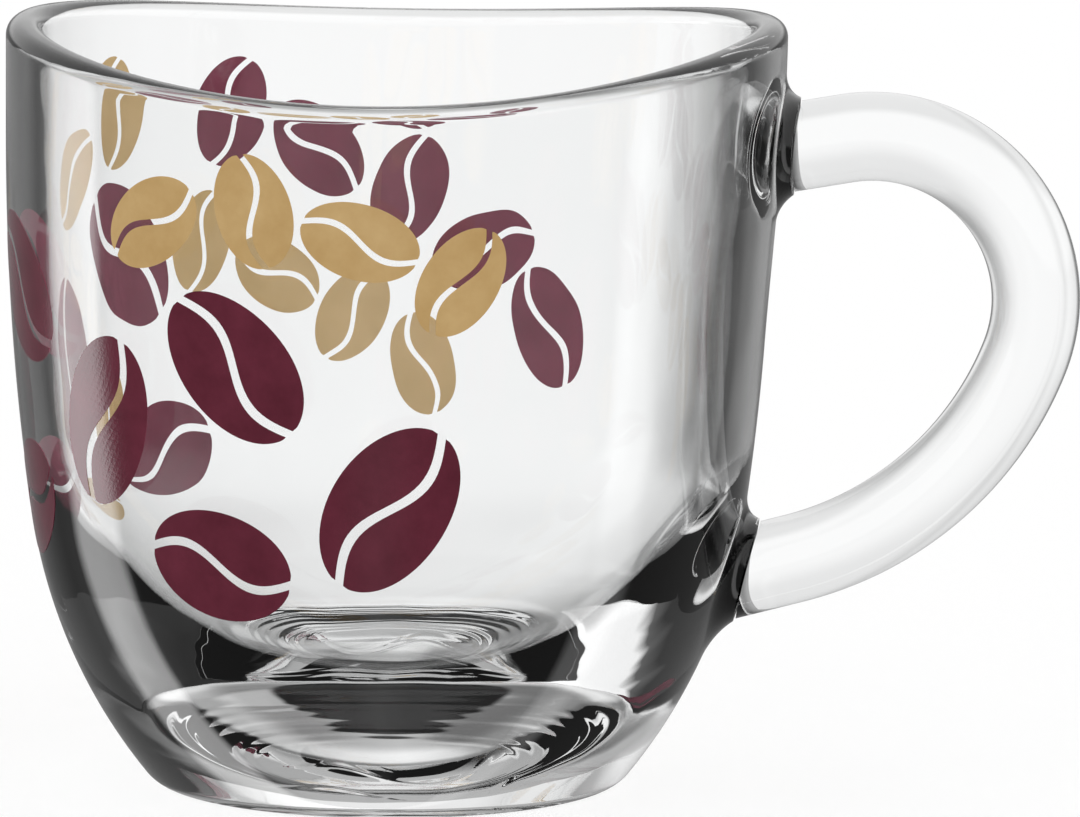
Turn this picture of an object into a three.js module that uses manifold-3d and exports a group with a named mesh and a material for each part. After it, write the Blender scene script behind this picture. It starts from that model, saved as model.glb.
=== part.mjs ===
// Clear glass espresso cup: a heavy pressed bowl with a thick base and a rim that rises
// and dips, and a looped glass handle fused to two flared bosses on the wall.
// Millimetres, +Z up. The pieces are drawn about the bowl's own axis, and the group is
// moved along X at the end, so that the origin is at the bottom centre of the whole cup.

import * as THREE from 'three';
import { mergeVertices } from 'three/addons/utils/BufferGeometryUtils.js';
import Module from 'manifold-3d';

// Outside of the bowl
const rimRadius = 30;
const rimHeight = 58.8; // the rim's crest, halfway between its high and low points
const rimRise = 1.5; // up at the handle and opposite it, down in between
const rimWaveFoot = 30; // the wave fades out down to this height
const rimFlare = 0.55; // the rim spreads by this much, and leans as far towards the handle
const rimFlareFoot = 35; // the flare fades out down to this height
const shoulderHeight = 50; // the wall stands upright above this height
const wallCurveRadius = 200; // slow curve of the wall below the shoulder
const bowlTopHeight = 21.5; // the tighter curve of the bowl starts below this height
const bowlCurveRadius = 42;
const footEdgeRadius = 3;

// Inside of the bowl, and its underside
const wallThickness = 2.9;
const lipRadius = 1.25; // rounding on both edges of the rim
const floorHeight = 4.8; // lowest point of the inside, a round hollow like half a ball
const floorFlatRadius = 0.5; // level spot in the middle of the floor
const puntRadius = 11.5; // hollow under the base, inside the foot ring
const puntDepth = 1.6;

// Handle, an oval bar bent in the XZ plane
const handleReach = 54; // from the bowl's axis to the bar's outer face
const handleTop = 55; // height of the bar's upper face at the top of the loop
const barThickness = 6.9; // across the bar, in the plane of the loop
const barWidth = 8.2;
const upperBendRadius = 12.7; // on the centreline
const lowerBendRadius = 26.6;
const bendChange = THREE.MathUtils.degToRad(-21); // where the upper bend passes into the lower
const upperTilt = THREE.MathUtils.degToRad(10); // the ends of the bar drop towards the wall
const lowerTilt = THREE.MathUtils.degToRad(15);

// Bosses that carry the handle
const bossProud = 1.2; // how far they stand off the wall
const bossFilletRadius = 2.3;
const bossDepth = 1.5; // root of a boss inside the wall
const fusedSeam = 0.3; // left between a boss and the end of the bar

// Fineness of the round surfaces
const bowlSides = 72;
const barSides = 24;
const barSteps = 44;

const wasm = await Module();
wasm.setup();

function arc(center, radius, from, to, steps) {
  const clockwise = to < from;
  return new THREE.EllipseCurve(center.x, center.y, radius, radius, from, to, clockwise).getPoints(steps);
}

function onCircle(center, radius, angle) {
  return new THREE.Vector2(Math.cos(angle), Math.sin(angle)).multiplyScalar(radius).add(center);
}

// The bowl's profile, with x as the radius and y as the height
const wallCenter = new THREE.Vector2(rimRadius - wallCurveRadius, shoulderHeight);
const bowlTopAngle = Math.asin((bowlTopHeight - shoulderHeight) / wallCurveRadius);
const bowlCenter = onCircle(wallCenter, wallCurveRadius - bowlCurveRadius, bowlTopAngle);

// Center of an arc that lies inside a circle, touches it, and touches a level line below.
function tangentCenter(circleCenter, circleRadius, radius, level) {
  const height = level + radius;
  const across = Math.sqrt((circleRadius - radius) ** 2 - (height - circleCenter.y) ** 2);
  return new THREE.Vector2(circleCenter.x + across, height);
}

const footCenter = tangentCenter(bowlCenter, bowlCurveRadius, footEdgeRadius, 0);
const footAngle = footCenter.clone().sub(bowlCenter).angle() - 2 * Math.PI;

function outerWall(offset) {
  return [
    ...arc(bowlCenter, bowlCurveRadius + offset, footAngle, bowlTopAngle, 9),
    ...arc(wallCenter, wallCurveRadius + offset, bowlTopAngle, 0, 5).slice(1),
  ];
}

function underside() {
  const domeRadius = (puntRadius ** 2 + puntDepth ** 2) / (2 * puntDepth);
  const domeCenter = new THREE.Vector2(0, puntDepth - domeRadius);
  const edgeAngle = Math.acos(puntRadius / domeRadius);
  return [
    ...arc(domeCenter, domeRadius, Math.PI / 2, edgeAngle, 4),
    ...arc(footCenter, footEdgeRadius, -Math.PI / 2, footAngle, 4),
  ];
}

function lip() {
  const height = rimHeight - lipRadius;
  const outer = new THREE.Vector2(rimRadius - lipRadius, height);
  const inner = new THREE.Vector2(rimRadius - wallThickness + lipRadius, height);
  return [
    ...arc(outer, lipRadius, 0, Math.PI / 2, 4),
    ...arc(inner, lipRadius, Math.PI / 2, Math.PI, 4),
  ];
}

// Radius of the arc that leaves the inner wall and comes level at the edge of the flat spot
function floorSweepRadius(innerRadius) {
  const across = floorFlatRadius - wallCenter.x;
  const drop = wallCenter.y - floorHeight;
  return (innerRadius ** 2 - across ** 2 - drop ** 2) / (2 * (innerRadius - drop));
}

function inside() {
  const innerRadius = wallCurveRadius - wallThickness;
  const sweepRadius = floorSweepRadius(innerRadius);
  const sweepCenter = new THREE.Vector2(floorFlatRadius, floorHeight + sweepRadius);
  const sweepAngle = sweepCenter.clone().sub(wallCenter).angle() - 2 * Math.PI;
  return [
    ...arc(wallCenter, innerRadius, 0, sweepAngle, 5),
    ...arc(sweepCenter, sweepRadius, sweepAngle, -Math.PI / 2, 12).slice(1),
    new THREE.Vector2(0, floorHeight),
  ];
}

function flareAt(height) {
  return rimFlare * THREE.MathUtils.smoothstep(height, rimFlareFoot, rimHeight);
}

// Turns a profile about the bowl's axis and flares it. The wall opposite the handle stays put.
function revolve(profile) {
  const geometry = new THREE.LatheGeometry(profile, bowlSides).rotateX(Math.PI / 2);
  const position = geometry.attributes.position;
  const point = new THREE.Vector3();
  for (let i = 0; i < position.count; i++) {
    point.fromBufferAttribute(position, i);
    const flare = flareAt(point.z);
    const radius = Math.hypot(point.x, point.y);
    const growth = radius > 0 ? 1 + flare / radius : 1;
    position.setXY(i, point.x * growth + flare, point.y * growth);
  }
  return geometry;
}

// Lifts the rim at the handle and opposite it, and lowers it in between.
function waveRim(geometry) {
  const position = geometry.attributes.position;
  const point = new THREE.Vector3();
  for (let i = 0; i < position.count; i++) {
    point.fromBufferAttribute(position, i);
    const share = THREE.MathUtils.smoothstep(point.z, rimWaveFoot, rimHeight);
    const around = Math.atan2(point.y, point.x - flareAt(point.z));
    position.setZ(i, point.z + rimRise * share * Math.cos(2 * around));
  }
  return geometry;
}

// Solid filled out to the wall's outer face, or to a face at a distance outside it
function filledWall(offset) {
  const wall = outerWall(offset);
  const foot = new THREE.Vector2(0, wall[0].y);
  const top = new THREE.Vector2(rimRadius + offset, rimHeight);
  return solidOf(revolve([foot, ...wall, top, new THREE.Vector2(0, rimHeight)]));
}

// Handle centreline, in the XZ plane
const bendCenter = new THREE.Vector2(handleReach, handleTop)
  .subScalar(barThickness / 2 + upperBendRadius);
const lowerBendCenter = onCircle(bendCenter, upperBendRadius - lowerBendRadius, bendChange);
const upperBendStart = Math.PI / 2 + upperTilt;
const lowerBendEnd = lowerTilt - Math.PI / 2;
const upperEnd = barEnd(onCircle(bendCenter, upperBendRadius, upperBendStart), upperTilt);
const lowerEnd = barEnd(onCircle(lowerBendCenter, lowerBendRadius, lowerBendEnd), lowerTilt);

// Where a straight end of the bar starts, and the way it runs to the wall
function barEnd(start, tilt) {
  const direction = new THREE.Vector2(-Math.cos(tilt), -Math.sin(tilt));
  const length = (start.x - rimRadius / 2) / Math.cos(tilt);
  return { start, direction, inWall: start.clone().addScaledVector(direction, length) };
}

class FlatCurve extends THREE.Curve {
  constructor(path) {
    super();
    this.path = path;
  }

  getPoint(t, target = new THREE.Vector3()) {
    const point = this.path.getPoint(t);
    return target.set(point.x, 0, point.y);
  }
}

function barPath() {
  const path = new THREE.Path();
  path.moveTo(upperEnd.inWall.x, upperEnd.inWall.y);
  path.lineTo(upperEnd.start.x, upperEnd.start.y);
  path.absarc(bendCenter.x, bendCenter.y, upperBendRadius, upperBendStart, bendChange, true);
  path.absarc(lowerBendCenter.x, lowerBendCenter.y, lowerBendRadius, bendChange, lowerBendEnd, true);
  path.lineTo(lowerEnd.inWall.x, lowerEnd.inWall.y);
  return new FlatCurve(path);
}

function bar() {
  const section = new THREE.Shape().absellipse(0, 0, barWidth / 2, barThickness / 2, 0, 2 * Math.PI);
  return new THREE.ExtrudeGeometry(section, {
    extrudePath: barPath(),
    steps: barSteps,
    curveSegments: barSides / 2,
  });
}

function wallRadiusAt(height) {
  if (height >= shoulderHeight) return rimRadius;
  const [center, radius] = height > bowlTopHeight
    ? [wallCenter, wallCurveRadius]
    : [bowlCenter, bowlCurveRadius];
  return center.x + Math.sqrt(radius ** 2 - (height - center.y) ** 2);
}

// Distance from a point outside the bowl to its wall, along a direction
function reachToWall(from, direction) {
  let near = 0;
  let far = from.x;
  for (let i = 0; i < 40; i++) {
    const middle = (near + far) / 2;
    const point = from.clone().addScaledVector(direction, middle);
    const flare = flareAt(point.z);
    if (Math.hypot(point.x - flare, point.y) > wallRadiusAt(point.z) + flare) near = middle;
    else far = middle;
  }
  return near;
}

// A flared boss round one end of the bar: a revolved fillet, made oval, whose foot
// follows the wall.
function boss(end) {
  const barRadius = barThickness / 2;
  const filletCenter = new THREE.Vector2(barRadius + bossFilletRadius, bossFilletRadius);
  const profile = [
    new THREE.Vector2(0, -bossDepth),
    new THREE.Vector2(filletCenter.x, -bossDepth),
    ...arc(filletCenter, bossFilletRadius, 1.5 * Math.PI, Math.PI, 6),
    new THREE.Vector2(barRadius, 2 * bossFilletRadius + bossProud),
    new THREE.Vector2(0, 2 * bossFilletRadius + bossProud),
  ];
  const flare = new THREE.LatheGeometry(profile, barSides);
  const toWall = new THREE.Vector3(end.direction.x, 0, end.direction.y);
  const across = new THREE.Vector3(-end.direction.y, 0, end.direction.x);
  const start = new THREE.Vector3(end.start.x, 0, end.start.y);
  const position = flare.attributes.position;
  const local = new THREE.Vector3();
  for (let i = 0; i < position.count; i++) {
    local.fromBufferAttribute(position, i);
    const from = start.clone().addScaledVector(across, local.z);
    from.y = local.x * barWidth / barThickness;
    const place = from.addScaledVector(toWall, reachToWall(from, toWall) - local.y);
    position.setXYZ(i, place.x, place.y, place.z);
  }
  return solidOf(flare);
}

// Closed solid of a geometry, with its shared corners merged
function solidOf(geometry) {
  const bare = geometry.clone();
  bare.deleteAttribute('normal');
  bare.deleteAttribute('uv');
  const merged = mergeVertices(bare, 1e-4);
  const corners = Array.from(merged.index.array);
  const triangles = [];
  for (let i = 0; i < corners.length; i += 3) {
    const [a, b, c] = corners.slice(i, i + 3);
    if (a !== b && b !== c && c !== a) triangles.push(a, b, c);
  }
  return new wasm.Manifold(new wasm.Mesh({
    numProp: 3,
    vertProperties: merged.attributes.position.array,
    triVerts: new Uint32Array(triangles),
  }));
}

function geometryOf(solid) {
  const mesh = solid.getMesh();
  const geometry = new THREE.BufferGeometry();
  geometry.setAttribute('position', new THREE.BufferAttribute(mesh.vertProperties, 3));
  geometry.setIndex(new THREE.BufferAttribute(mesh.triVerts, 1));
  geometry.computeVertexNormals();
  return geometry;
}

function cupBody() {
  const bowl = waveRim(revolve([...underside(), ...outerWall(0).slice(1), ...lip(), ...inside()]));
  const bosses = boss(upperEnd).add(boss(lowerEnd)).intersect(filledWall(bossProud));
  return geometryOf(solidOf(bowl).add(bosses));
}

function handle() {
  return geometryOf(solidOf(bar()).subtract(filledWall(bossProud + fusedSeam)));
}

function clearGlass() {
  return new THREE.MeshStandardMaterial({
    color: 0xe6ebec,
    roughness: 0.03,
    metalness: 0,
    transparent: true,
    opacity: 0.35,
  });
}

function piece(name, geometry) {
  const mesh = new THREE.Mesh(geometry, clearGlass());
  mesh.name = name;
  return mesh;
}

const espressoGlass = new THREE.Group();
espressoGlass.add(piece('cup_body', cupBody()), piece('handle', handle()));
espressoGlass.position.x = (rimRadius - handleReach) / 2;

export default espressoGlass;
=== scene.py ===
import math

import bmesh
import bpy
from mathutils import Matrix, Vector


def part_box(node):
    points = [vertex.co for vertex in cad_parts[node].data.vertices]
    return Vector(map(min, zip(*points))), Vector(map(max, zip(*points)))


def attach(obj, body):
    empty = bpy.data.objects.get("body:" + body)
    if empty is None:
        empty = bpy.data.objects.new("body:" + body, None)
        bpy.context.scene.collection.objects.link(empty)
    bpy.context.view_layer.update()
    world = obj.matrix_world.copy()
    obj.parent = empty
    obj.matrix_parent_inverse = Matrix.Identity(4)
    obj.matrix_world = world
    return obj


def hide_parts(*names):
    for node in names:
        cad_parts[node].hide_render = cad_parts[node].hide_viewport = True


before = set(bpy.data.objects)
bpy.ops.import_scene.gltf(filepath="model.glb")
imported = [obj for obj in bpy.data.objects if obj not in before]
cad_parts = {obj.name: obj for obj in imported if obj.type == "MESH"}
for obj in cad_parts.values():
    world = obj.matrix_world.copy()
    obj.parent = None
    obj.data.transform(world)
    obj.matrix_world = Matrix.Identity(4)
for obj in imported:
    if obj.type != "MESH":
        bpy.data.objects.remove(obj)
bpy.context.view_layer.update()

mm = 0.001
deg = math.radians(1)
scene = bpy.context.scene

# sizes that the solids already settle, with the film and the flare that lie inside their boxes
cupLow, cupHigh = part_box("cup_body")
barLow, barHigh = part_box("handle")
film = 0.04 * mm  # the print stands this proud of the wall, and its face is the widest of all
rimFlare = 0.55 * mm  # the rim spreads by this much, and leans as far towards the handle
rimRadius = (cupHigh.y - cupLow.y) / 2 - rimFlare - film
axisX = cupLow.x + film + rimRadius
barWidth = barHigh.y - barLow.y
hair = 0.001 * mm  # no step of a mesh is this small
sharpAngle = 35 * deg


# materials

def newMaterial(name):
    mat = bpy.data.materials.new(name)
    mat.use_nodes = True
    tree = mat.node_tree
    return mat, tree, tree.nodes["Principled BSDF"]


def addNode(tree, kind, **values):
    node = tree.nodes.new(kind)
    for key, value in values.items():
        if hasattr(node, key):
            setattr(node, key, value)
        else:
            node.inputs[key.replace("_", " ")].default_value = value
    return node


def calc(group, operation, *values):
    node = addNode(group, "ShaderNodeMath", operation=operation)
    for i, value in enumerate(values):
        if isinstance(value, (int, float)):
            node.inputs[i].default_value = value
        else:
            group.links.new(value, node.inputs[i])
    return node.outputs[0]


def smoothNode(tree, value, low, high):
    ramp = addNode(
        tree, "ShaderNodeMapRange", interpolation_type="SMOOTHSTEP", From_Min=low, From_Max=high)
    tree.links.new(value, ramp.inputs["Value"])
    return ramp.outputs["Result"]


# the pressed surface is a little wavy, with long streaks up the wall
glassWaves = {
    "rippleScale": 70.0,
    "streakScale": 150.0,
    "streakRise": 0.12,
    "streakShare": 0.5,
    "strength": 0.25,
    "depth": 0.4 * mm,
}


def makeClearGlass():
    mat, tree, glass = newMaterial("clearGlass")
    glass.inputs["Base Color"].default_value = (0.985, 0.99, 0.99, 1)
    glass.inputs["Roughness"].default_value = 0.0
    glass.inputs["IOR"].default_value = 1.5
    glass.inputs["Transmission Weight"].default_value = 1
    link = tree.links.new
    coords = addNode(tree, "ShaderNodeTexCoord")
    ripple = addNode(
        tree, "ShaderNodeTexNoise", Scale=glassWaves["rippleScale"], Detail=2.0, Roughness=0.4)
    link(coords.outputs["Object"], ripple.inputs["Vector"])
    stretch = addNode(tree, "ShaderNodeMapping", Scale=(1, 1, glassWaves["streakRise"]))
    streaks = addNode(
        tree, "ShaderNodeTexNoise", Scale=glassWaves["streakScale"], Detail=1.0, Roughness=0.4)
    link(coords.outputs["Object"], stretch.inputs["Vector"])
    link(stretch.outputs["Vector"], streaks.inputs["Vector"])
    streakHeight = calc(tree, "MULTIPLY", streaks.outputs["Fac"], glassWaves["streakShare"])
    height = calc(tree, "ADD", ripple.outputs["Fac"], streakHeight)
    bump = addNode(
        tree, "ShaderNodeBump", Strength=glassWaves["strength"], Distance=glassWaves["depth"])
    link(height, bump.inputs["Height"])
    link(bump.outputs["Normal"], glass.inputs["Normal"])
    return mat


# uneven ink, with the fine grain of a fired print, and painted paler on the side that lies on the
# glass: painted light that brightens the print where it is seen through the glass
ink = {
    "cloudScale": 260.0,
    "cloudSpread": (0.3, 0.75),
    "grainScale": 5200.0,
    "grainStrength": 0.12,
    "grainDepth": 0.05 * mm,
}


def cloudRamp(tree, cloud, dark, light):
    ramp = addNode(tree, "ShaderNodeValToRGB")
    for stop, position, color in zip(ramp.color_ramp.elements, ink["cloudSpread"], (dark, light)):
        stop.position = position
        stop.color = (*color, 1)
    tree.links.new(cloud.outputs["Fac"], ramp.inputs["Fac"])
    return ramp.outputs["Color"]


def makeEnamel(name, dark, light, litInnerDark, litInnerLight):
    mat, tree, paint = newMaterial(name)
    paint.inputs["Roughness"].default_value = 0.14
    paint.inputs["Specular IOR Level"].default_value = 0.5
    link = tree.links.new
    coords = addNode(tree, "ShaderNodeTexCoord")
    cloud = addNode(
        tree, "ShaderNodeTexNoise", Scale=ink["cloudScale"], Detail=4.0, Roughness=0.6)
    inner = addNode(tree, "ShaderNodeAttribute", attribute_name="inner")
    faces = addNode(tree, "ShaderNodeMix", data_type="RGBA")
    link(coords.outputs["Object"], cloud.inputs["Vector"])
    # painted light: faces that lie on the glass take the paler, lit copy of the ink
    link(inner.outputs["Fac"], faces.inputs[0])
    link(cloudRamp(tree, cloud, dark, light), faces.inputs[6])
    link(cloudRamp(tree, cloud, litInnerDark, litInnerLight), faces.inputs[7])
    link(faces.outputs[2], paint.inputs["Base Color"])
    grain = addNode(tree, "ShaderNodeTexNoise", Scale=ink["grainScale"], Detail=2.0)
    bump = addNode(
        tree, "ShaderNodeBump", Strength=ink["grainStrength"], Distance=ink["grainDepth"])
    link(coords.outputs["Object"], grain.inputs["Vector"])
    link(grain.outputs["Fac"], bump.inputs["Height"])
    link(bump.outputs["Normal"], paint.inputs["Normal"])
    return mat


clearGlass = makeClearGlass()
burgundyEnamel = makeEnamel(
    "burgundyEnamel",
    dark=(0.085, 0.008, 0.02),
    light=(0.125, 0.016, 0.034),
    # painted light: a paler copy of the ink for the side seen through the glass
    litInnerDark=(0.19, 0.045, 0.072),
    litInnerLight=(0.25, 0.065, 0.1),
)
tanEnamel = makeEnamel(
    "tanEnamel",
    dark=(0.46, 0.29, 0.11),
    light=(0.56, 0.38, 0.17),
    # painted light: a paler copy of the ink for the side seen through the glass
    litInnerDark=(0.59, 0.41, 0.19),
    litInnerLight=(0.69, 0.49, 0.25),
)
print("materials ready")


# cup

cup = {
    "rimRise": 1.5 * mm,
    "waveFoot": 30 * mm,
    "flareFoot": 35 * mm,
    "shoulder": 50 * mm,
    "wallCurve": 200 * mm,
    "bowlTop": 21.5 * mm,
    "bowlCurve": 42 * mm,
    "footEdge": 3 * mm,
    "wall": 2.9 * mm,
    "lip": 1.25 * mm,
    "floor": 4.8 * mm,
    "floorFlat": 0.5 * mm,
    "punt": 11.5 * mm,
    "puntDepth": 1.6 * mm,
    "ringsFrom": 8.4 * mm,  # fine rings pressed into the underside
    "ringsTo": 15.6 * mm,
    "ringPitch": 1.2 * mm,
    "ringDepth": 0.045 * mm,
    "ringSteps": 8,
    "curlReach": 8.2 * mm,  # the curl that the shears leave in the middle of the base
    "curlFade": 2.2 * mm,
    "curlLength": 12 * mm,
    "curlSwing": 3.2 * mm,
    "curlWidth": 0.9 * mm,
    "curlUnder": 0.1 * mm,
    "curlFloor": 0.06 * mm,
    "columns": 240,
    "step": 0.6 * mm,
}
rimHeight = cupHigh.z - cup["rimRise"]


def onCircle(center, radius, angle):
    return center + radius * Vector((math.cos(angle), math.sin(angle)))


def arcPoints(center, radius, start, end, step):
    count = max(3, math.ceil(abs(end - start) * radius / step))
    return [onCircle(center, radius, start + (end - start) * i / count) for i in range(count + 1)]


def linePoints(start, end, step):
    count = max(1, math.ceil((end - start).length / step))
    return [start.lerp(end, i / count) for i in range(count + 1)]


def angleOf(vector):
    return math.atan2(vector.y, vector.x)


def tangentCenter(center, radius, inner, level):
    # an arc inside a circle that touches it and a level line below
    height = level + inner
    across = math.sqrt((radius - inner) ** 2 - (height - center.y) ** 2)
    return Vector((center.x + across, height))


wallCenter = Vector((rimRadius - cup["wallCurve"], cup["shoulder"]))
bowlTopAngle = math.asin((cup["bowlTop"] - cup["shoulder"]) / cup["wallCurve"])
bowlCenter = onCircle(wallCenter, cup["wallCurve"] - cup["bowlCurve"], bowlTopAngle)
footCenter = tangentCenter(bowlCenter, cup["bowlCurve"], cup["footEdge"], 0)
footAngle = angleOf(footCenter - bowlCenter)


def smoothShare(value, start, end):
    share = min(max((value - start) / (end - start), 0), 1)
    return share * share * (3 - 2 * share)


def waveAt(height, around):
    return cup["rimRise"] * smoothShare(height, cup["waveFoot"], rimHeight) * math.cos(2 * around)


def flareAt(height):
    return rimFlare * smoothShare(height, cup["flareFoot"], rimHeight)


def curlAt(x, y):
    line = cup["curlSwing"] * math.sin(2 * math.pi * x / cup["curlLength"])
    groove = smoothShare(abs(y - line), cup["curlWidth"], 0)
    near = smoothShare(math.hypot(x, y), cup["curlReach"], cup["curlReach"] - cup["curlFade"])
    return groove * near


def wallRadiusAt(height, proud=0.0):
    if height >= cup["shoulder"]:
        return rimRadius + proud
    upper = height > cup["bowlTop"]
    center = wallCenter if upper else bowlCenter
    radius = (cup["wallCurve"] if upper else cup["bowlCurve"]) + proud
    return center.x + math.sqrt(radius ** 2 - (height - center.y) ** 2)


def underProfile():
    domeRadius = (cup["punt"] ** 2 + cup["puntDepth"] ** 2) / (2 * cup["puntDepth"])
    rows, radius = [], 0.0
    while radius < footCenter.x:
        drop = domeRadius - math.sqrt(domeRadius ** 2 - radius ** 2)
        spot = Vector((radius, max(cup["puntDepth"] - drop, 0)))
        inRings = cup["ringsFrom"] < radius < cup["ringsTo"]
        if inRings:
            turn = 2 * math.pi * (radius - cup["ringsFrom"]) / cup["ringPitch"]
            spot.y += cup["ringDepth"] * (1 - math.cos(turn)) / 2
        rows.append(spot)
        radius += cup["ringPitch"] / cup["ringSteps"] if inRings else cup["step"] / 2
        if spot.x < cup["ringsFrom"] < radius:
            radius = cup["ringsFrom"] + hair
    return rows


def bowlProfile():
    step = cup["step"]
    # one sweep joins the inner wall to the flat of the floor
    innerRadius = cup["wallCurve"] - cup["wall"]
    across = cup["floorFlat"] - wallCenter.x
    drop = wallCenter.y - cup["floor"]
    sweepRadius = (innerRadius ** 2 - across ** 2 - drop ** 2) / (2 * (innerRadius - drop))
    sweepCenter = Vector((cup["floorFlat"], cup["floor"] + sweepRadius))
    sweepAngle = angleOf(sweepCenter - wallCenter)
    lipHeight = rimHeight - cup["lip"]
    lipOuter = Vector((rimRadius - cup["lip"], lipHeight))
    lipInner = Vector((rimRadius - cup["wall"] + cup["lip"], lipHeight))
    under = underProfile()
    under += arcPoints(footCenter, cup["footEdge"], -math.pi / 2, footAngle, step / 2)[:-1]
    outside = arcPoints(bowlCenter, cup["bowlCurve"], footAngle, bowlTopAngle, step)
    outside += arcPoints(wallCenter, cup["wallCurve"], bowlTopAngle, 0, step)[1:]
    outside += linePoints(outside[-1], Vector((rimRadius, lipHeight)), step)[1:-1]
    top = arcPoints(lipOuter, cup["lip"], 0, math.pi / 2, step / 4)
    top += arcPoints(lipInner, cup["lip"], math.pi / 2, math.pi, step / 4)
    inside = linePoints(top[-1], Vector((rimRadius - cup["wall"], cup["shoulder"])), step)[1:-1]
    inside += arcPoints(wallCenter, innerRadius, 0, sweepAngle, step)
    floorAngle = -math.acos((cup["curlReach"] - sweepCenter.x) / sweepRadius)
    inside += arcPoints(sweepCenter, sweepRadius, sweepAngle, floorAngle, step)[1:]
    inside += arcPoints(sweepCenter, sweepRadius, floorAngle, -math.pi / 2, step / 2)[1:]
    inside += linePoints(inside[-1], Vector((0, cup["floor"])), step)[1:]
    return under, outside, top, inside


# handle centreline, in the cup's own XZ plane

handle = {
    "thickness": 6.9 * mm,
    "upperBend": 12.7 * mm,
    "lowerBend": 26.6 * mm,
    "bendChange": -21 * deg,
    "upperTilt": 10 * deg,
    "lowerTilt": 15 * deg,
    "seam": 0.12 * mm,  # dark line between a boss and the bar
    "sides": 96,
    "step": 0.4 * mm,
    "capRings": 8,
}
boss = {
    "proud": 1.2 * mm,
    "fillet": 2.3 * mm,
    "seamGuess": 60 * deg,
    "seamRounds": 4,
    "margin": 2.2 * mm,
    "slant": 0.35,  # the wall's own lean, added to the bar's
    "slantGrowth": 0.3,
    "wallRings": 6,
    "filletRings": 14,
    "faceRings": 8,
}
wallSearch = {"back": 10 * mm, "halvings": 48}
barProud = boss["proud"] + handle["seam"]
outerBend = handle["thickness"] / 2 + handle["upperBend"]
bendCenter = Vector((barHigh.x - axisX - outerBend, barHigh.z - outerBend))
lowerBendCenter = onCircle(
    bendCenter, handle["upperBend"] - handle["lowerBend"], handle["bendChange"])
upperStart = onCircle(bendCenter, handle["upperBend"], math.pi / 2 + handle["upperTilt"])
lowerStart = onCircle(lowerBendCenter, handle["lowerBend"], handle["lowerTilt"] - math.pi / 2)


def barEnd(start, tilt):
    toWall = Vector((-math.cos(tilt), 0, -math.sin(tilt)))
    across = Vector((math.sin(tilt), 0, -math.cos(tilt)))
    return {"start": Vector((start.x, 0, start.y)), "toWall": toWall, "across": across}


barEnds = [barEnd(upperStart, handle["upperTilt"]), barEnd(lowerStart, handle["lowerTilt"])]


def reachToWall(point, direction, proud=0.0):
    # how far it is from a point to the wall, found by halving
    near, far = -wallSearch["back"], point.x
    for i in range(wallSearch["halvings"]):
        middle = (near + far) / 2
        spot = point + direction * middle
        height = spot.z - waveAt(spot.z, math.atan2(spot.y, spot.x))
        flare = flareAt(height)
        if math.hypot(spot.x - flare, spot.y) > wallRadiusAt(height, proud) + flare:
            near = middle
        else:
            far = middle
    return near


def sectionPoint(end, u, v):
    point = end["start"] + end["across"] * v
    point.y = u
    return point


def offWall(end, u, v, lift=0.0, proud=0.0):
    base = sectionPoint(end, u, v)
    return base + end["toWall"] * (reachToWall(base, end["toWall"], proud) - lift)


def axisPoint(end, proud):
    return offWall(end, 0, 0, 0, proud)


# the lathe-turned bowl with a round patch let into its wall for each boss

def addRows(bm, rows):
    rings = []
    for radius, height in rows:
        if radius < hair:
            rings.append([bm.verts.new((0, 0, height))])
            continue
        ring = []
        for i in range(cup["columns"]):
            around = 2 * math.pi * i / cup["columns"]
            flare = flareAt(height)
            x = (radius + flare) * math.cos(around) + flare
            y = (radius + flare) * math.sin(around)
            ring.append(bm.verts.new((x, y, height + waveAt(height, around))))
        rings.append(ring)
    return rings


def joinRings(bm, first, second, skip=()):
    # a ring of one vertex closes the other in a fan
    count = max(len(first), len(second))
    for i in range(count):
        if i in skip:
            continue
        n = (i + 1) % count
        corners = [first[i % len(first)], first[n % len(first)]]
        corners += [second[n % len(second)], second[i % len(second)]]
        bm.faces.new(list(dict.fromkeys(corners)))


def bossWindow(end, outsideRows, firstRow):
    # rows and columns of the wall that a boss takes up
    center = offWall(end, 0, 0).z
    slant = abs(end["toWall"].z) + boss["slant"]
    reach = handle["thickness"] / 2 + boss["fillet"]
    tall = reach * (1 + slant * boss["slantGrowth"]) + boss["margin"]
    wide = reach * barWidth / handle["thickness"] + boss["margin"]
    inside = [i for i, row in enumerate(outsideRows) if abs(row.y - center) < tall]
    columns = math.ceil(wide / (2 * math.pi * rimRadius / cup["columns"]))
    return firstRow + inside[0], firstRow + inside[-1], columns


def windowLoop(rings, low, high, columns):
    loop = [rings[low][c] for c in range(-columns, columns)]
    loop += [rings[r][columns] for r in range(low, high)]
    loop += [rings[high][c] for c in range(columns, -columns, -1)]
    loop += [rings[r][-columns] for r in range(high, low, -1)]
    return loop


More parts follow.
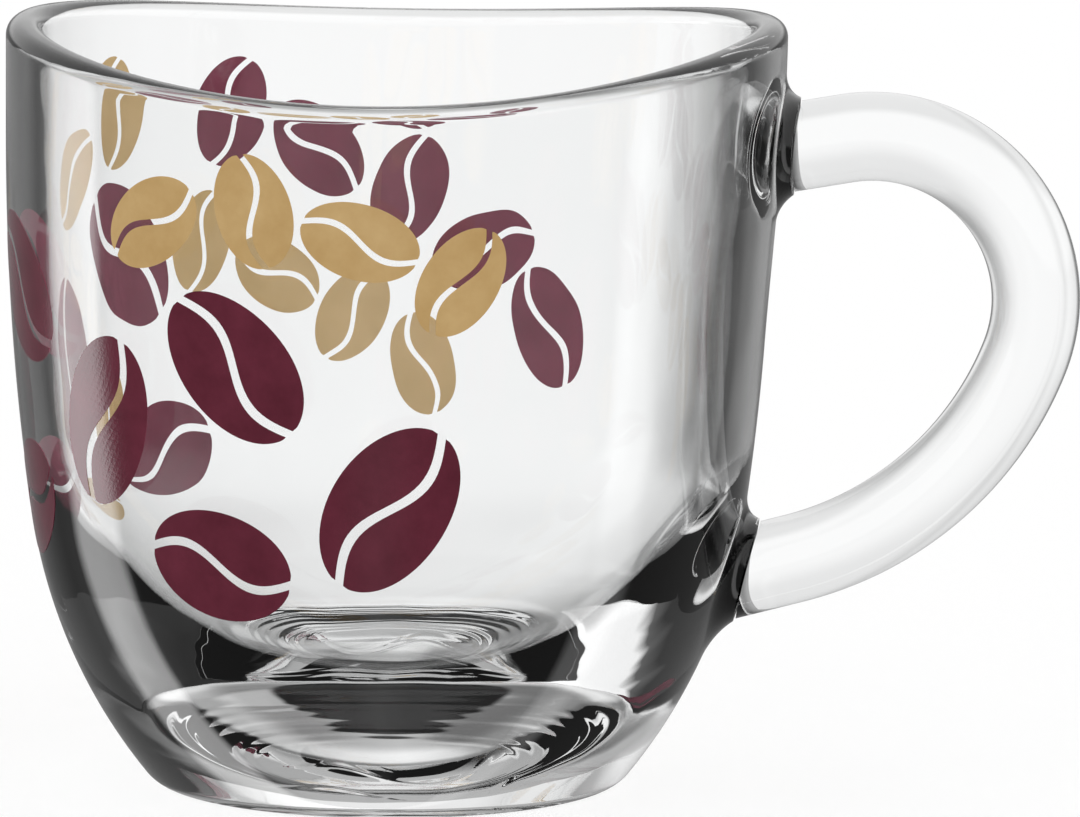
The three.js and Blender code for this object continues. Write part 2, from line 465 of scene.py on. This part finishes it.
def addBoss(bm, end, loop):
    half = handle["thickness"] / 2
    oval = barWidth / handle["thickness"]
    places = []
    for vert in loop:
        local = vert.co - end["start"]
        u, v = local.y, local.dot(end["across"])
        places.append((u, v, math.atan2(v, u / oval)))

    def ovalPoint(turn, grown):
        return (half + grown) * oval * math.cos(turn), (half + grown) * math.sin(turn)

    def seamAngle(turn):
        angle = boss["seamGuess"]
        for i in range(boss["seamRounds"]):
            base = sectionPoint(end, *ovalPoint(turn, boss["fillet"] * (1 - math.sin(angle))))
            toFace = reachToWall(base, end["toWall"], boss["proud"])
            lift = reachToWall(base, end["toWall"]) - toFace
            angle = math.acos(max(1 - lift / boss["fillet"], 0))
        return angle

    seams = [seamAngle(turn) for u, v, turn in places]
    last = loop
    for k in range(1, boss["wallRings"] + 1):
        share = k / boss["wallRings"]
        ring = []
        for u, v, turn in places:
            footU, footV = ovalPoint(turn, boss["fillet"])
            spot = u + (footU - u) * share, v + (footV - v) * share
            ring.append(bm.verts.new(offWall(end, *spot)))
        joinRings(bm, last, ring)
        last = ring
    for k in range(1, boss["filletRings"] + 1):
        ring = []
        for (u, v, turn), seam in zip(places, seams):
            angle = seam * k / boss["filletRings"]
            spot = ovalPoint(turn, boss["fillet"] * (1 - math.sin(angle)))
            lift = boss["fillet"] * (1 - math.cos(angle))
            ring.append(bm.verts.new(offWall(end, *spot, lift)))
        joinRings(bm, last, ring)
        last = ring
    for k in range(1, boss["faceRings"] + 1):
        share = 1 - k / boss["faceRings"]
        if share == 0:
            ring = [bm.verts.new(axisPoint(end, boss["proud"]))]
        else:
            ring = []
            for (u, v, turn), seam in zip(places, seams):
                edgeU, edgeV = ovalPoint(turn, boss["fillet"] * (1 - math.sin(seam)))
                face = offWall(end, edgeU * share, edgeV * share, 0, boss["proud"])
                ring.append(bm.verts.new(face))
        joinRings(bm, last, ring)
        last = ring


def meshPiece(bm, name, mat):
    bmesh.ops.recalc_face_normals(bm, faces=bm.faces)
    mesh = bpy.data.meshes.new(name)
    bm.to_mesh(mesh)
    bm.free()
    mesh.materials.append(mat)
    mesh.shade_smooth()
    mesh.set_sharp_from_angle(angle=sharpAngle)
    piece = bpy.data.objects.new(name, mesh)
    scene.collection.objects.link(piece)
    return piece


def makeCup():
    bm = bmesh.new()
    under, outside, top, inside = bowlProfile()
    rings = addRows(bm, under + outside + top + inside)
    curls = ((rings[:len(under)], cup["curlUnder"]), (rings[-len(inside):], cup["curlFloor"]))
    for part, depth in curls:
        for vert in (v for ring in part for v in ring):
            vert.co.z += depth * curlAt(vert.co.x, vert.co.y)
    windows = [bossWindow(end, outside, len(under)) for end in barEnds]
    for r in range(len(rings) - 1):
        skip = set()
        for low, high, columns in windows:
            if low <= r < high:
                skip |= {c % cup["columns"] for c in range(-columns, columns)}
        joinRings(bm, rings[r], rings[r + 1], skip)
    for end, (low, high, columns) in zip(barEnds, windows):
        addBoss(bm, end, windowLoop(rings, low, high, columns))
    loose = [v for v in bm.verts if not v.link_faces]
    bmesh.ops.delete(bm, geom=loose, context="VERTS")
    bmesh.ops.translate(bm, verts=bm.verts, vec=(axisX, 0, 0))
    return meshPiece(bm, "cupGlass", clearGlass)


cupGlass = makeCup()
print("cup", len(cupGlass.data.polygons), "faces")


# handle: an oval section swept along the bends, its ends then laid to the wall

def barPath():
    ends = [axisPoint(end, barProud) for end in barEnds]
    first, last = [Vector((point.x, point.z)) for point in ends]
    upper = [math.pi / 2 + handle["upperTilt"], handle["bendChange"]]
    lower = [handle["bendChange"], handle["lowerTilt"] - math.pi / 2]
    path = linePoints(first, upperStart, handle["step"])[:-1]
    path += arcPoints(bendCenter, handle["upperBend"], *upper, handle["step"])[:-1]
    path += arcPoints(lowerBendCenter, handle["lowerBend"], *lower, handle["step"])
    path += linePoints(lowerStart, last, handle["step"])[1:]
    return path


def makeBarCurve():
    path = barPath()
    data = bpy.data.curves.new("barCurve", "CURVE")
    data.dimensions = "3D"
    spline = data.splines.new("POLY")
    spline.points.add(len(path) - 1)
    for point, place in zip(spline.points, path):
        point.co = (place.x, 0, place.y, 1)
    curve = bpy.data.objects.new("barCurve", data)
    scene.collection.objects.link(curve)
    return curve


def newGroup(name, inputs):
    group = bpy.data.node_groups.new(name, "GeometryNodeTree")
    sockets = {}
    group.interface.new_socket("Geometry", in_out="INPUT", socket_type="NodeSocketGeometry")
    for label, kind in inputs:
        socket = group.interface.new_socket(label, in_out="INPUT", socket_type=kind)
        sockets[label] = socket.identifier
    group.interface.new_socket("Geometry", in_out="OUTPUT", socket_type="NodeSocketGeometry")
    start = group.nodes.new("NodeGroupInput")
    end = group.nodes.new("NodeGroupOutput")
    return group, sockets, start, end


def sweepNodes():
    group, sockets, start, end = newGroup("sweepBar", [
        ("Width", "NodeSocketFloat"),
        ("Thickness", "NodeSocketFloat"),
        ("Sides", "NodeSocketInt"),
        ("Material", "NodeSocketMaterial"),
    ])
    link = group.links.new
    section = addNode(group, "GeometryNodeCurvePrimitiveCircle", Radius=0.5)
    oval = addNode(group, "ShaderNodeCombineXYZ", Z=1.0)
    shaped = addNode(group, "GeometryNodeTransform")
    sweep = addNode(group, "GeometryNodeCurveToMesh")
    smooth = addNode(group, "GeometryNodeSetShadeSmooth")
    real = addNode(group, "GeometryNodeRealizeInstances")
    paint = addNode(group, "GeometryNodeSetMaterial")
    link(start.outputs["Sides"], section.inputs["Resolution"])
    link(start.outputs["Width"], oval.inputs["X"])
    link(start.outputs["Thickness"], oval.inputs["Y"])
    link(section.outputs["Curve"], shaped.inputs["Geometry"])
    link(oval.outputs["Vector"], shaped.inputs["Scale"])
    link(start.outputs["Geometry"], sweep.inputs["Curve"])
    link(shaped.outputs["Geometry"], sweep.inputs["Profile Curve"])
    link(sweep.outputs["Mesh"], smooth.inputs["Geometry"])
    link(smooth.outputs["Geometry"], real.inputs["Geometry"])
    link(real.outputs["Geometry"], paint.inputs["Geometry"])
    link(start.outputs["Material"], paint.inputs["Material"])
    link(paint.outputs["Geometry"], end.inputs["Geometry"])
    return group, sockets


def nodesToMesh(source, group, sockets, values, name):
    modifier = source.modifiers.new(name, "NODES")
    modifier.node_group = group
    for label, value in values.items():
        modifier[sockets[label]] = value
    bpy.context.view_layer.update()
    graph = bpy.context.evaluated_depsgraph_get()
    mesh = bpy.data.meshes.new_from_object(source.evaluated_get(graph), depsgraph=graph)
    mesh.name = name
    source.modifiers.remove(modifier)
    bpy.data.objects.remove(source)
    return mesh


def layEnd(bm, end, ring):
    # moves the straight run at one end along the bar until it lies on the boss, and caps it
    along = (end["start"] - axisPoint(end, barProud)).length
    for vert in bm.verts:
        local = vert.co - end["start"]
        run = local.dot(end["toWall"])
        if run <= 0 or abs(local.dot(end["across"])) > handle["thickness"]:
            continue
        spot = offWall(end, local.y, local.dot(end["across"]), 0, barProud)
        wanted = (spot - end["start"]).dot(end["toWall"])
        vert.co += end["toWall"] * (wanted - along) * min(run / along, 1)
    last = ring
    for k in range(1, handle["capRings"] + 1):
        share = 1 - k / handle["capRings"]
        cap = []
        for vert in ring if share else ring[:1]:
            local = vert.co - end["start"]
            u, v = local.y * share, local.dot(end["across"]) * share
            cap.append(bm.verts.new(offWall(end, u, v, 0, barProud)))
        joinRings(bm, last, cap)
        last = cap


def openRing(bm, near):
    rims = [e for e in bm.edges if e.is_boundary]
    edge = min(rims, key=lambda e: (e.verts[0].co - near).length)
    ring, vert = [], edge.verts[0]
    while vert not in ring:
        ring.append(vert)
        ahead = [e.other_vert(vert) for e in vert.link_edges if e.is_boundary]
        vert = next((v for v in ahead if v not in ring), ring[0])
    return ring


def makeHandle():
    group, sockets = sweepNodes()
    values = {
        "Width": barWidth,
        "Thickness": handle["thickness"],
        "Sides": handle["sides"],
        "Material": clearGlass,
    }
    mesh = nodesToMesh(makeBarCurve(), group, sockets, values, "handleBar")
    bm = bmesh.new()
    bm.from_mesh(mesh)
    bpy.data.meshes.remove(mesh)
    rings = [openRing(bm, axisPoint(end, boss["proud"])) for end in barEnds]
    for end, ring in zip(barEnds, rings):
        layEnd(bm, end, ring)
    bmesh.ops.translate(bm, verts=bm.verts, vec=(axisX, 0, 0))
    return meshPiece(bm, "handleBar", clearGlass)


handleBar = makeHandle()
print("handle", len(handleBar.data.polygons), "faces")

for piece, node in ((cupGlass, "cup_body"), (handleBar, "handle")):
    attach(piece, "root")
    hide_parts(node)


# printed beans: flat shapes laid out on the unrolled wall, then wrapped round it

beans = {
    "wide": 0.66,  # shares of the length
    "cleft": 0.055,
    "bend": 0.085,
    "tipStop": 0.985,  # the oval is cut a little short, so its tips are blunt
    "across": 10,
    "along": 40,
    "filmIn": 0.008 * mm,  # a hair's gap, so that the film shows its colour from inside too
    "front": -90,
    # degrees from the front towards the handle, height, length, turn
    "burgundy": [
        (4, 26, 14.5, -35), (-24, 21, 13, 80), (-20, 37, 14, 42), (-45, 31.5, 14, -20),
        (-70, 40, 14, 60), (-74, 23.5, 13, -65), (-99, 31.5, 14, 12), (-125, 39, 13.5, -45),
        (-131, 22.5, 13, 75), (-149, 50, 9.5, 25), (-164, 47, 9.5, -45), (-179, 43.5, 9.5, 15),
        (-192, 38.5, 9.5, 70), (-204, 32.5, 10, -25),
    ],
    "tan": [
        (14, 44.5, 9.5, -25), (-1, 48, 9.5, 70), (-17, 50, 9.5, 15), (-34, 48, 9.5, -50),
        (-107, 45.5, 9, 50), (-124, 50, 9, 20), (-143, 39.5, 8.5, 20),
        (-157, 36.5, 8.5, -60), (-170, 33, 8.5, 35), (-182, 29, 8.5, -15),
        (-103, 18.5, 9, -75), (-116, 27, 8.5, 30),
    ],
}


def placeAt(group, geometry, x, y, z):
    spot = addNode(group, "ShaderNodeCombineXYZ")
    for value, socket in zip((x, y, z), spot.inputs):
        group.links.new(value, socket)
    move = addNode(group, "GeometryNodeSetPosition")
    group.links.new(geometry, move.inputs["Geometry"])
    group.links.new(spot.outputs[0], move.inputs["Position"])
    return move.outputs["Geometry"]


def splitPosition(group):
    place = addNode(group, "GeometryNodeInputPosition")
    split = addNode(group, "ShaderNodeSeparateXYZ")
    group.links.new(place.outputs[0], split.inputs[0])
    return split.outputs["X"], split.outputs["Y"], split.outputs["Z"]


def halfBean(group, start):
    # a fine box, bent so that one side is the oval edge and the other the curved cleft
    box = addNode(group, "GeometryNodeMeshCube", Size=(1, 1, 1), Vertices_Z=2)
    group.links.new(start.outputs["Across"], box.inputs["Vertices X"])
    group.links.new(start.outputs["Along"], box.inputs["Vertices Y"])
    x, y, z = splitPosition(group)
    sine = calc(group, "SINE", calc(group, "MULTIPLY", y, math.pi))
    run = calc(group, "MULTIPLY", sine, beans["tipStop"])
    oval = calc(group, "SQRT", calc(group, "SUBTRACT", 1, calc(group, "MULTIPLY", run, run)))
    edge = calc(group, "MULTIPLY", oval, calc(group, "MULTIPLY", start.outputs["Wide"], 0.5))
    swing = calc(group, "SINE", calc(group, "MULTIPLY", run, math.pi))
    bend = calc(group, "MULTIPLY", swing, start.outputs["Bend"])
    cleft = calc(group, "MULTIPLY_ADD", start.outputs["Cleft"], 0.5, bend)
    share = calc(group, "ADD", x, 0.5)
    width = calc(group, "SUBTRACT", edge, cleft)
    out = calc(group, "ADD", cleft, calc(group, "MULTIPLY", share, width))
    return placeAt(group, box.outputs["Mesh"], out, calc(group, "MULTIPLY", run, 0.5), z)


def wallRadius(group, height):
    drop = calc(group, "MINIMUM", calc(group, "SUBTRACT", height, cup["shoulder"]), 0)
    square = calc(group, "SUBTRACT", cup["wallCurve"] ** 2, calc(group, "MULTIPLY", drop, drop))
    upper = calc(group, "ADD", calc(group, "SQRT", square), wallCenter.x)
    fall = calc(group, "SUBTRACT", height, bowlCenter.y)
    square = calc(group, "SUBTRACT", cup["bowlCurve"] ** 2, calc(group, "MULTIPLY", fall, fall))
    lower = calc(group, "ADD", calc(group, "SQRT", square), bowlCenter.x)
    choose = addNode(group, "GeometryNodeSwitch", input_type="FLOAT")
    group.links.new(calc(group, "GREATER_THAN", height, cup["bowlTop"]), choose.inputs["Switch"])
    group.links.new(lower, choose.inputs["False"])
    group.links.new(upper, choose.inputs["True"])
    return choose.outputs[0]


def wrapToWall(group, geometry, start):
    x, y, z = splitPosition(group)
    around = calc(group, "DIVIDE", x, rimRadius)
    thick = calc(group, "SUBTRACT", start.outputs["Film Out"], start.outputs["Film In"])
    level = calc(group, "MULTIPLY", calc(group, "ADD", z, 0.5), thick)
    layer = calc(group, "ADD", start.outputs["Film In"], level)
    flare = calc(group, "MULTIPLY", smoothNode(group, y, cup["flareFoot"], rimHeight), rimFlare)
    radius = calc(group, "ADD", calc(group, "ADD", wallRadius(group, y), layer), flare)
    wave = calc(group, "COSINE", calc(group, "MULTIPLY", around, 2))
    rise = calc(group, "MULTIPLY", wave, cup["rimRise"])
    height = calc(group, "MULTIPLY_ADD", smoothNode(group, y, cup["waveFoot"], rimHeight), rise, y)
    center = calc(group, "ADD", flare, axisX)
    outX = calc(group, "MULTIPLY_ADD", radius, calc(group, "COSINE", around), center)
    outY = calc(group, "MULTIPLY", radius, calc(group, "SINE", around))
    return placeAt(group, geometry, outX, outY, height)


def beanNodes():
    group, sockets, start, end = newGroup("printBeans", [
        ("Wide", "NodeSocketFloat"),
        ("Cleft", "NodeSocketFloat"),
        ("Bend", "NodeSocketFloat"),
        ("Across", "NodeSocketInt"),
        ("Along", "NodeSocketInt"),
        ("Film In", "NodeSocketFloat"),
        ("Film Out", "NodeSocketFloat"),
        ("Material", "NodeSocketMaterial"),
    ])
    link = group.links.new
    half = halfBean(group, start)
    other = addNode(group, "GeometryNodeTransform", Rotation=(0, 0, math.pi))
    both = addNode(group, "GeometryNodeJoinGeometry")
    link(half, other.inputs["Geometry"])
    link(other.outputs[0], both.inputs[0])
    link(half, both.inputs[0])
    turn, length = [
        addNode(group, "GeometryNodeInputNamedAttribute", data_type="FLOAT", Name=label)
        for label in ("turn", "length")
    ]
    spin = addNode(group, "ShaderNodeCombineXYZ")
    size = addNode(group, "ShaderNodeCombineXYZ", Z=1.0)
    link(turn.outputs["Attribute"], spin.inputs["Z"])
    link(length.outputs["Attribute"], size.inputs["X"])
    link(length.outputs["Attribute"], size.inputs["Y"])
    # the side of the film that lies on the glass, which the enamel paints paler as painted light
    low = calc(group, "LESS_THAN", splitPosition(group)[2], 0)
    mark = addNode(
        group, "GeometryNodeStoreNamedAttribute", data_type="FLOAT", domain="POINT", Name="inner")
    link(both.outputs[0], mark.inputs["Geometry"])
    link(low, mark.inputs["Value"])
    lay = addNode(group, "GeometryNodeInstanceOnPoints")
    real = addNode(group, "GeometryNodeRealizeInstances")
    paint = addNode(group, "GeometryNodeSetMaterial")
    link(start.outputs["Geometry"], lay.inputs["Points"])
    link(mark.outputs["Geometry"], lay.inputs["Instance"])
    link(spin.outputs[0], lay.inputs["Rotation"])
    link(size.outputs[0], lay.inputs["Scale"])
    link(lay.outputs[0], real.inputs[0])
    link(wrapToWall(group, real.outputs[0], start), paint.inputs["Geometry"])
    link(start.outputs["Material"], paint.inputs["Material"])
    link(paint.outputs[0], end.inputs[0])
    return group, sockets


def makeBeans(group, sockets, name, places, mat):
    mesh = bpy.data.meshes.new(name)
    angles, heights, lengths, turns = zip(*places)
    across = [(angle + beans["front"]) * deg * rimRadius for angle in angles]
    mesh.from_pydata([(x, height * mm, 0) for x, height in zip(across, heights)], [], [])
    marks = {"turn": [turn * deg for turn in turns], "length": [size * mm for size in lengths]}
    for label, numbers in marks.items():
        mesh.attributes.new(label, "FLOAT", "POINT").data.foreach_set("value", numbers)
    source = bpy.data.objects.new(name, mesh)
    scene.collection.objects.link(source)
    values = {
        "Wide": beans["wide"],
        "Cleft": beans["cleft"],
        "Bend": beans["bend"],
        "Across": beans["across"],
        "Along": beans["along"],
        "Film In": beans["filmIn"],
        "Film Out": film,
        "Material": mat,
    }
    printed = nodesToMesh(source, group, sockets, values, name)
    for label in marks:
        if label in printed.attributes:
            printed.attributes.remove(printed.attributes[label])
    piece = bpy.data.objects.new(name, printed)
    scene.collection.objects.link(piece)
    return piece


beanGroup, beanSockets = beanNodes()
burgundyBeans = makeBeans(
    beanGroup, beanSockets, "burgundyBeans", beans["burgundy"], burgundyEnamel)
tanBeans = makeBeans(beanGroup, beanSockets, "tanBeans", beans["tan"], tanEnamel)
print("beans", len(burgundyBeans.data.polygons) + len(tanBeans.data.polygons), "faces")

for piece, slot in ((burgundyBeans, "burgundy_enamel"), (tanBeans, "tan_enamel")):
    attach(piece, "root")


# floor and world

stage = {
    "floorSize": 3.0,
    "floorColor": (1, 1, 1, 1),
    "floorLift": 0.4,
}


def makeFloor():
    half = stage["floorSize"] / 2
    mesh = bpy.data.meshes.new("floor")
    corners = [(-half, -half, 0), (half, -half, 0), (half, half, 0), (-half, half, 0)]
    mesh.from_pydata(corners, [], [(0, 1, 2, 3)])
    mat, tree, paint = newMaterial("floorPaper")
    paint.inputs["Base Color"].default_value = stage["floorColor"]
    paint.inputs["Roughness"].default_value = 0.9
    paint.inputs["Specular IOR Level"].default_value = 0.0
    # the paper reads as plain white, with the cup's shadow on it
    path = addNode(tree, "ShaderNodeLightPath")
    lift = calc(tree, "MULTIPLY", path.outputs["Is Camera Ray"], stage["floorLift"])
    white = addNode(tree, "ShaderNodeEmission")
    mix = addNode(tree, "ShaderNodeMixShader")
    tree.links.new(lift, mix.inputs[0])
    tree.links.new(paint.outputs[0], mix.inputs[1])
    tree.links.new(white.outputs[0], mix.inputs[2])
    tree.links.new(mix.outputs[0], tree.nodes["Material Output"].inputs["Surface"])
    mesh.materials.append(mat)
    floor = bpy.data.objects.new("floor", mesh)
    scene.collection.objects.link(floor)
    floor.visible_transmission = False
    floor.visible_glossy = False


# brightness of the studio round the cup, by the angle from straight behind it (left is below 0);
# each way through the glass meets other walls and cards, so each has its own levels
studio = {
    "through": [  # through the hollow bowl
        (-180, 0.1), (-62, 0.1), (-56, 0.9), (-46, 1), (-39, 0.85), (-32, 0.7), (-27, 0.6),
        (-18, 0.7), (-15, 0.85), (-12, 1), (1, 1.04), (3, 0.9), (6, 0.6), (9, 0.42), (12, 0.14),
        (15, 0.02), (39, 0.03), (45, 0.8), (54, 0.8), (62, 0.1), (180, 0.1),
    ],
    "edge": [  # along the edge of the wall
        (-180, 0.5), (-60, 0.3), (-43, 0.02), (-35, 0.06), (-25, 0.1), (-5, 0.18), (5, 0.42),
        (12, 0.33), (20, 0.22), (27, 0.15), (36, 0.07), (45, 0.04), (60, 0.3), (180, 0.5),
    ],
    "above": [  # over the horizon, and by way of the thick base
        (-180, 0.08), (-140, 0.04), (-104, 0.03), (-97, 0.12), (-93, 1), (-60, 1.1), (-52, 0.5),
        (-42, 0.32), (-30, 0.46), (6, 0.42), (18, 0.24), (28, 0.03), (70, 0.02), (82, 0.04),
        (90, 0.14), (97, 0.03), (140, 0.05), (180, 0.08),
    ],
    "gloss": [  # mirrored in the outside: a strip of light on the left, a weaker one on the right
        (-180, 0.4), (-165, 0.2), (-86, 0.2), (-82, 4.2), (-73, 4), (-63, 3.2), (-58, 0.3),
        (-50, 0.2), (0, 0.3), (50, 0.2), (84, 0.2), (90, 1.5), (100, 1.5), (104, 0.2),
        (165, 0.2), (180, 0.4),
    ],
    "table": [
        (-180, 0.9), (-70, 0.7), (-56, 0.45), (-51, 0.8), (-41, 0.8), (-36, 0.42), (-24, 0.5),
        (-12, 0.8), (0, 0.95), (8, 0.8), (14, 0.4), (20, 0.28), (34, 0.3), (40, 0.4), (43, 0.8),
        (50, 0.8), (56, 0.5), (75, 0.8), (180, 0.9),
    ],
    "bar": [  # through the handle
        (-180, 1), (-90, 0.9), (-78, 0.3), (-62, 0.1), (-54, 0.2), (-50, 0.6), (-47, 0.94),
        (-42, 0.96), (-34, 1), (-28, 0.84), (-21, 1), (0, 1.01), (12, 0.99), (20, 0.86),
        (28, 0.6), (36, 0.48), (40, 0.58), (43, 0.9), (48, 0.9), (52, 0.3), (60, 0.1), (70, 0.1),
        (80, 0.35), (90, 0.9), (180, 1),
    ],
    "cards": 8,  # dark cards all round, beyond those that the photographed side shows
    "cardsFrom": 67.5 * deg,
    "cardEdge": (-50 * deg, 15 * deg),
    "cardLevel": 0.08,
    "aboveEdge": (-3 * deg, 4 * deg),
    "topEdge": (45 * deg, 62 * deg),
    "top": 0.9,
    "glossEdge": (-1 * deg, 6 * deg),
    "glossAbove": 1.0,  # what the top of the rim mirrors
    "tableEdge": (-22 * deg, -13 * deg),
    "tableShade": 0.45,  # the table is darker close to the foot
    "shadeEdge": (-48 * deg, -33 * deg),
    "underEdge": (-59 * deg, -56 * deg),
    "under": 0.01,
    "barShade": 0.14,  # in the lower half of the handle
    "barEdge": (-4 * deg, 14 * deg),
    "barFootShade": 0.18,  # along its upper edge
    "barFootEdge": (-34 * deg, -25 * deg),
    "light": 1.0,
}

# which ray leaves the glass after solid glass, after the wall's edge and after the hollow bowl
lastRay = {"solid": 3, "edge": 4, "bowl": 5}


def levelRamp(tree, levels, share):
    ramp = addNode(tree, "ShaderNodeValToRGB")
    stops = ramp.color_ramp.elements
    for i, (angle, level) in enumerate(levels):
        position = 0.5 + angle / 360
        stop = stops[i] if i < len(stops) else stops.new(position)
        stop.position = position
        stop.color = (level, level, level, 1)
    tree.links.new(share, ramp.inputs["Fac"])
    return ramp.outputs["Color"]


def risingShare(tree, height, edge):
    return smoothNode(tree, height, math.sin(edge[0]), math.sin(edge[1]))


def mixColors(tree, share, first, second):
    mix = addNode(tree, "ShaderNodeMix", data_type="RGBA")
    tree.links.new(share, mix.inputs[0])
    for value, socket in ((first, mix.inputs[6]), (second, mix.inputs[7])):
        if isinstance(value, float):
            socket.default_value = (value, value, value, 1)
        else:
            tree.links.new(value, socket)
    return mix.outputs[2]


def makeWorld():
    world = bpy.data.worlds.new("studio")
    world.use_nodes = True
    tree = world.node_tree
    path = addNode(tree, "ShaderNodeLightPath")
    coords = addNode(tree, "ShaderNodeTexCoord")
    split = addNode(tree, "ShaderNodeSeparateXYZ")
    tree.links.new(coords.outputs["Generated"], split.inputs["Vector"])
    height = split.outputs["Z"]
    turn = calc(tree, "ARCTAN2", split.outputs["X"], split.outputs["Y"])
    share = calc(tree, "MULTIPLY_ADD", turn, 0.5 / math.pi, 0.5)
    ramps = ("through", "edge", "above", "table", "bar", "gloss")
    levels = {name: levelRamp(tree, studio[name], share) for name in ramps}

    def rising(edge):
        return risingShare(tree, height, studio[edge])

    def falling(edge):
        return calc(tree, "SUBTRACT", 1, rising(edge))

    def laterThan(ray):
        return calc(tree, "GREATER_THAN", path.outputs["Ray Depth"], lastRay[ray] + 0.5)

    wave = calc(tree, "COSINE", calc(tree, "MULTIPLY", turn, studio["cards"]))
    gap = risingShare(tree, wave, studio["cardEdge"])
    cards = calc(tree, "MULTIPLY_ADD", gap, 1 - studio["cardLevel"], studio["cardLevel"])
    away = calc(tree, "GREATER_THAN", calc(tree, "ABSOLUTE", turn), studio["cardsFrom"])
    through = mixColors(tree, away, levels["through"], cards)
    walls = mixColors(tree, laterThan("edge"), levels["edge"], through)
    above = calc(tree, "MAXIMUM", rising("aboveEdge"), laterThan("bowl"))
    room = mixColors(tree, above, walls, levels["above"])
    room = mixColors(tree, rising("topEdge"), room, studio["top"])
    tableShade = calc(tree, "MULTIPLY", falling("shadeEdge"), studio["tableShade"])
    table = mixColors(tree, tableShade, levels["table"], 0.0)
    room = mixColors(tree, rising("tableEdge"), table, room)
    room = mixColors(tree, rising("underEdge"), studio["under"], room)

    # the first mirror image and the handle
    glint = mixColors(tree, rising("glossEdge"), levels["gloss"], studio["glossAbove"])
    shade = calc(tree, "MULTIPLY", rising("barEdge"), studio["barShade"])
    shade = calc(tree, "MULTIPLY_ADD", falling("barFootEdge"), studio["barFootShade"], shade)
    bar = mixColors(tree, shade, levels["bar"], 0.0)
    solid = mixColors(tree, path.outputs["Is Transmission Ray"], glint, bar)
    room = mixColors(tree, laterThan("solid"), solid, room)

    # plain white light on everything that isn't seen in the glass
    seen = calc(tree, "MAXIMUM", path.outputs["Is Glossy Ray"], path.outputs["Is Transmission Ray"])
    direct = calc(tree, "LESS_THAN", path.outputs["Diffuse Depth"], 0.5)
    inGlass = calc(tree, "MULTIPLY", seen, direct)
    back = tree.nodes["Background"]
    tree.links.new(mixColors(tree, inGlass, 1.0, room), back.inputs["Color"])
    back.inputs["Strength"].default_value = studio["light"]
    scene.world = world
    # light reaches the print and the floor through clear, not frosted, glass
    scene.cycles.blur_glossy = 0


makeFloor()
makeWorld()
print("stage ready")


# camera, at the photograph's angle

photo = {
    "width": 1080,
    "height": 817,
    "pixelsPerMetre": 12780,
    "sensor": 36,
    "distance": 1.4,
    "azimuth": 3.4 * deg,
    "elevation": 8.7 * deg,
    "roll": 0.27 * deg,
    "aim": Vector((388.8, 427.5)),  # where the cup's axis shows at aimHeight
    "aimHeight": 28.1 * mm,
}


def makeCamera():
    az, el = photo["azimuth"], photo["elevation"]
    back = Vector((math.sin(az) * math.cos(el), -math.cos(az) * math.cos(el), math.sin(el)))
    right = Vector((math.cos(az), math.sin(az), 0))
    up = back.cross(right)
    dx = (photo["width"] / 2 - photo["aim"].x) / photo["pixelsPerMetre"]
    dy = (photo["aim"].y - photo["height"] / 2) / photo["pixelsPerMetre"]
    target = Vector((axisX, 0, photo["aimHeight"])) + right * dx + up * dy
    data = bpy.data.cameras.new("photoCamera")
    data.sensor_width = photo["sensor"]
    data.lens = photo["sensor"] * photo["distance"] * photo["pixelsPerMetre"] / photo["width"]
    data.clip_start = 0.05
    data.clip_end = 20
    camera = bpy.data.objects.new("photoCamera", data)
    scene.collection.objects.link(camera)
    camera.location = target + back * photo["distance"]
    camera.rotation_euler = (-back).to_track_quat("-Z", "Y").to_euler()
    camera.rotation_euler.rotate_axis("Z", photo["roll"])
    scene.camera = camera


makeCamera()
scene.view_settings.view_transform = "Standard"
print("camera ready")
